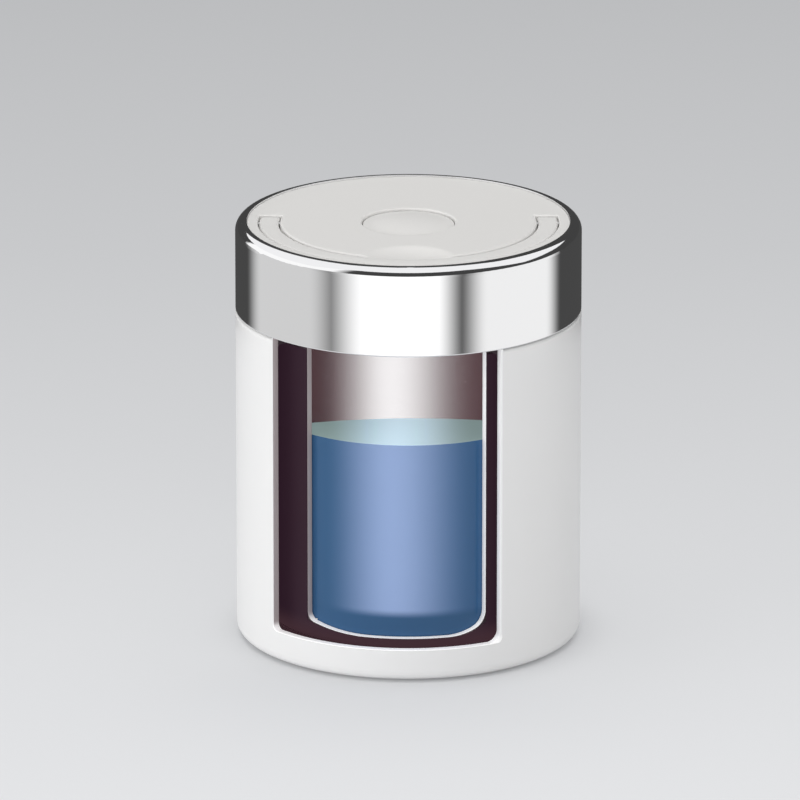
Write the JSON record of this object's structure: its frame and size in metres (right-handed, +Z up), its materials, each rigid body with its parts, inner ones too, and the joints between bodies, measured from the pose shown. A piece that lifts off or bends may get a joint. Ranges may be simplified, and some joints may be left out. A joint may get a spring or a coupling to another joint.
{
  "type": "insulated food jar",
  "caption": "Double-walled steel food jar with a screw lid, flush folding carry handle and vent button, sectioned at the front to show its walls and a cast fill.",
  "frame": {"origin": "centre of the foot ring, on the surface that the jar stands on", "axes": "+Z up along the jar's axis, -Y towards the front, where the handle lies and the windows open, +X to the right seen from the front"},
  "size_m": [0.103, 0.103, 0.1278],
  "materials": {
    "shell_paint": "gloss white coating on drawn steel",
    "vessel_steel": "satin stainless steel",
    "band_steel": "mirror-polished stainless steel",
    "gap_foil": "dark copper-brown foil",
    "port_solder": "dull grey metal",
    "plate_plastic": "fine satin, warm light grey",
    "core_plastic": "plain moulded",
    "stopper_foam": "closed-cell foam",
    "seal_silicone": "translucent white silicone",
    "foot_silicone": "light grey silicone",
    "pin_steel": "bright drawn steel",
    "fill_resin": "clear blue cast resin"
  },
  "bodies": {
    "jar": {"outer_shell": "shell_paint", "base_pan": "vessel_steel", "foot_pad": "foot_silicone", "port_seal": "port_solder", "getter": "port_solder", "thread_collar": "core_plastic", "inner_vessel": "vessel_steel", "radiation_foil": "gap_foil", "contents_fill": "fill_resin"},
    "seal": {"gasket": "seal_silicone"},
    "lid": {"lid_band": "band_steel", "lid_core": "core_plastic", "lid_top_plate": "plate_plastic", "stopper_pan": "vessel_steel", "foam_core": "stopper_foam", "handle_pins": "pin_steel", "stem_bush": "core_plastic", "vent_spring": "pin_steel"},
    "handle": {"handle": "plate_plastic"},
    "vent": {"vent_button": "plate_plastic", "vent_stem": "pin_steel", "vent_seal": "seal_silicone", "stem_clip": "pin_steel"}
  },
  "joints": [
    {"name": "lid_lift", "type": "slide", "parent": "jar", "child": "seal", "axis": [0, 0, 1], "range_m": [0, 0.05]},
    {"name": "lid_turn", "type": "hinge", "parent": "seal", "child": "lid", "pos_m": [0, 0, 0.1165], "axis": [0, 0, 1], "range_deg": [0, 240]},
    {"name": "handle_fold", "type": "hinge", "parent": "lid", "child": "handle", "pos_m": [0, 0.0026, 0.1255], "axis": [-1, 0, 0], "range_deg": [0, 90]},
    {"name": "vent_press", "type": "slide", "parent": "lid", "child": "vent", "axis": [0, 0, -1], "range_m": [0, 0.002], "stiffness_N_per_m": 400, "springref_m": -0.002, "deforming": ["vent_spring"]}
  ]
}
